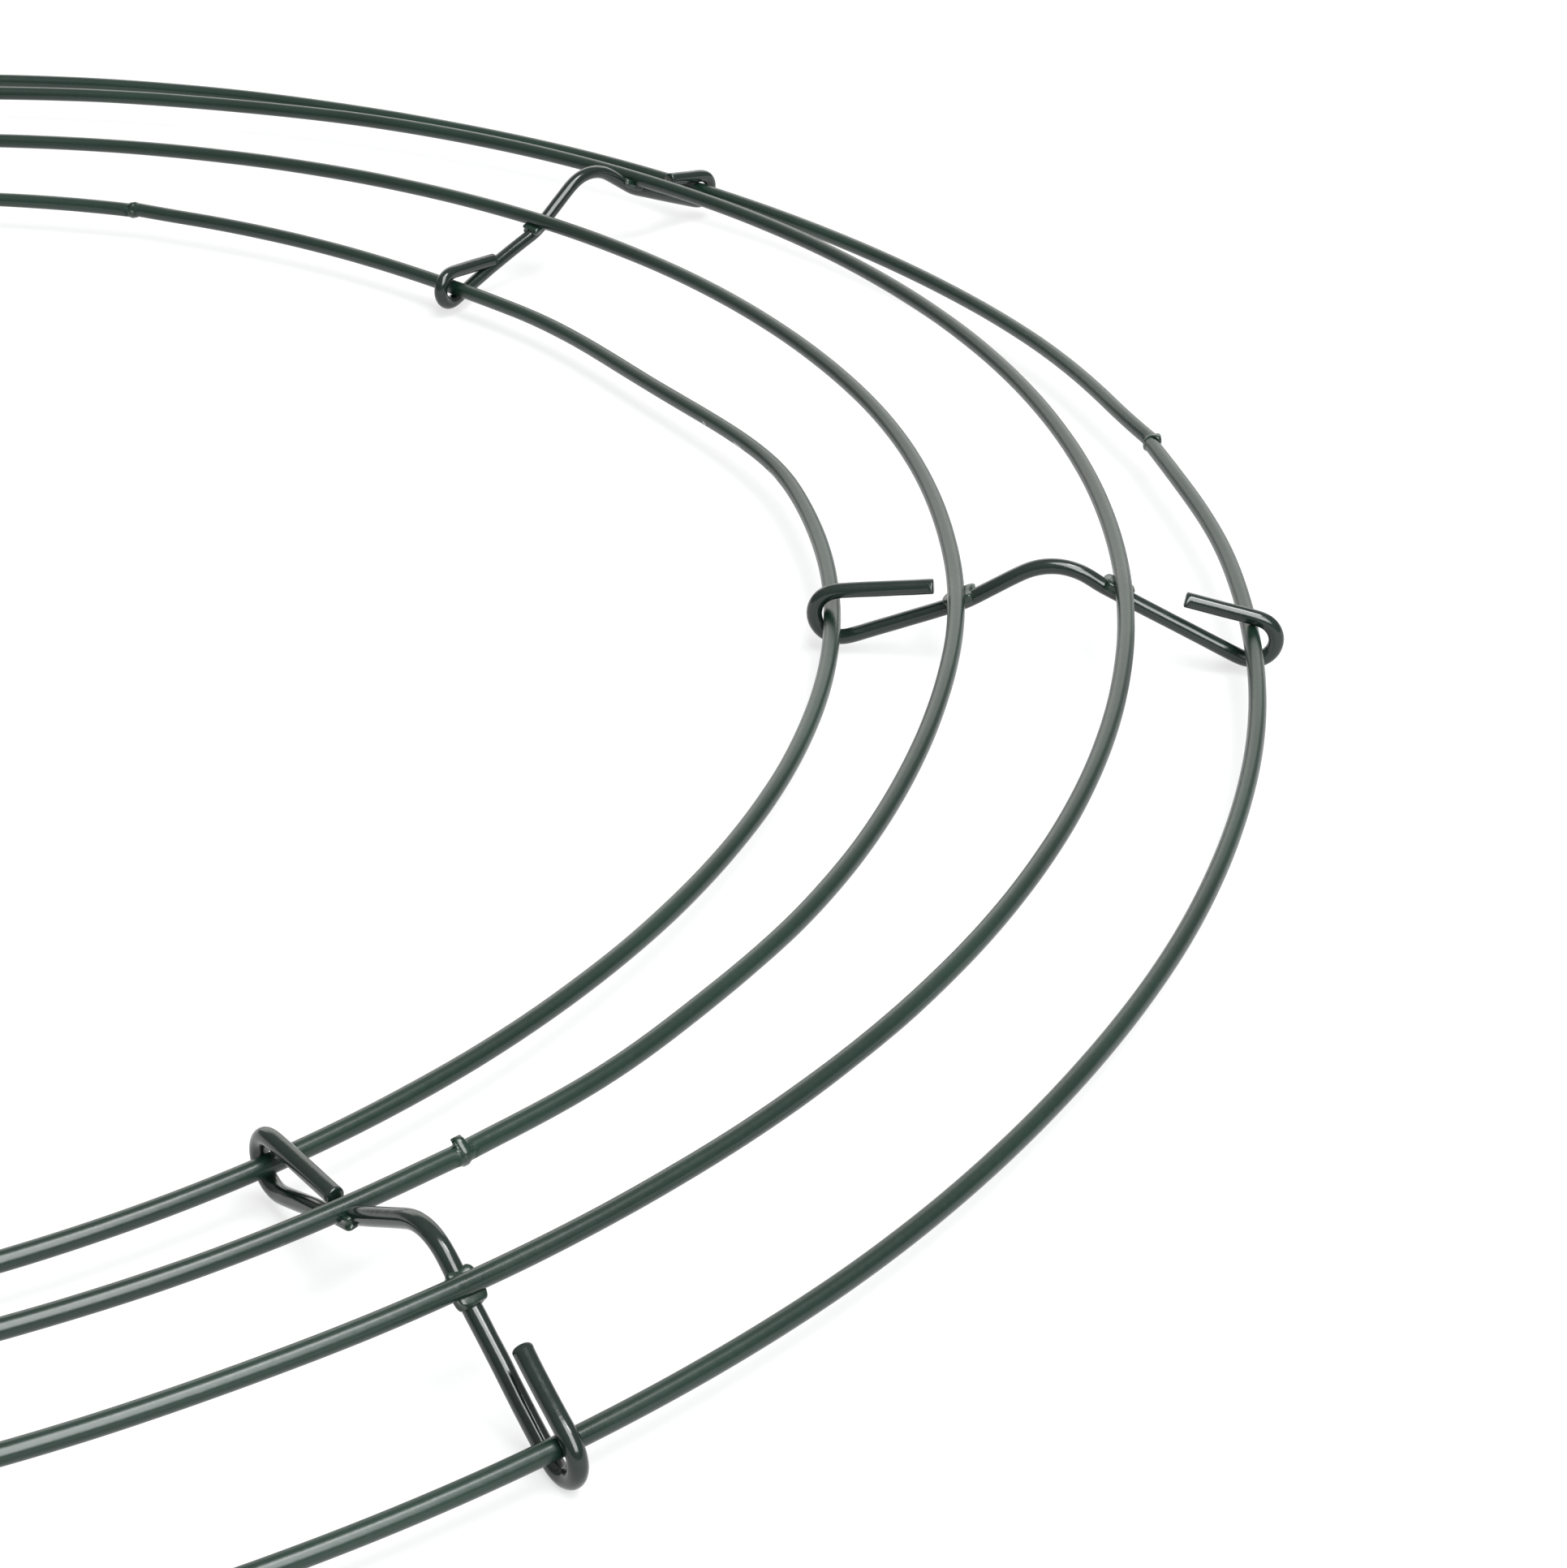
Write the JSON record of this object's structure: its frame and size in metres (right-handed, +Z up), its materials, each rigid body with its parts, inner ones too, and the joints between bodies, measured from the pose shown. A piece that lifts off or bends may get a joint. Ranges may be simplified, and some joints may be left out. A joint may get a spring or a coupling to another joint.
{
  "type": "wire wreath frame",
  "caption": "Flat round wire frame for a wreath: concentric rings joined by bent cross wires whose ends hook round the inner and outer rings.",
  "frame": {"origin": "on the rings' common axis, in the plane that the frame rests on", "axes": "+Z up along the rings' axis, arches upward; +Y out along the first cross wire"},
  "size_m": [0.4061, 0.4083, 0.0132],
  "materials": {
    "ring_enamel": "dark green baked enamel over drawn steel wire, semi-gloss",
    "cross_enamel": "dark green baked enamel over drawn steel wire, slightly glossier than the rings",
    "weld_enamel": "the same dark green enamel pooled over a resistance weld, with a thin worn crest"
  },
  "bodies": {
    "root": {"inner_ring": "ring_enamel", "inner_ring_butt_weld": "weld_enamel", "second_ring": "ring_enamel", "second_ring_butt_weld": "weld_enamel", "third_ring": "ring_enamel", "third_ring_butt_weld": "weld_enamel", "outer_ring": "ring_enamel", "outer_ring_butt_weld": "weld_enamel", "cross_wire_1": "cross_enamel", "second_ring_weld_1": "weld_enamel", "third_ring_weld_1": "weld_enamel", "cross_wire_2": "cross_enamel", "second_ring_weld_2": "weld_enamel", "third_ring_weld_2": "weld_enamel", "cross_wire_3": "cross_enamel", "second_ring_weld_3": "weld_enamel", "third_ring_weld_3": "weld_enamel", "cross_wire_4": "cross_enamel", "second_ring_weld_4": "weld_enamel", "third_ring_weld_4": "weld_enamel", "cross_wire_5": "cross_enamel", "second_ring_weld_5": "weld_enamel", "third_ring_weld_5": "weld_enamel", "cross_wire_6": "cross_enamel", "second_ring_weld_6": "weld_enamel", "third_ring_weld_6": "weld_enamel", "cross_wire_7": "cross_enamel", "second_ring_weld_7": "weld_enamel", "third_ring_weld_7": "weld_enamel"}
  },
  "joints": []
}
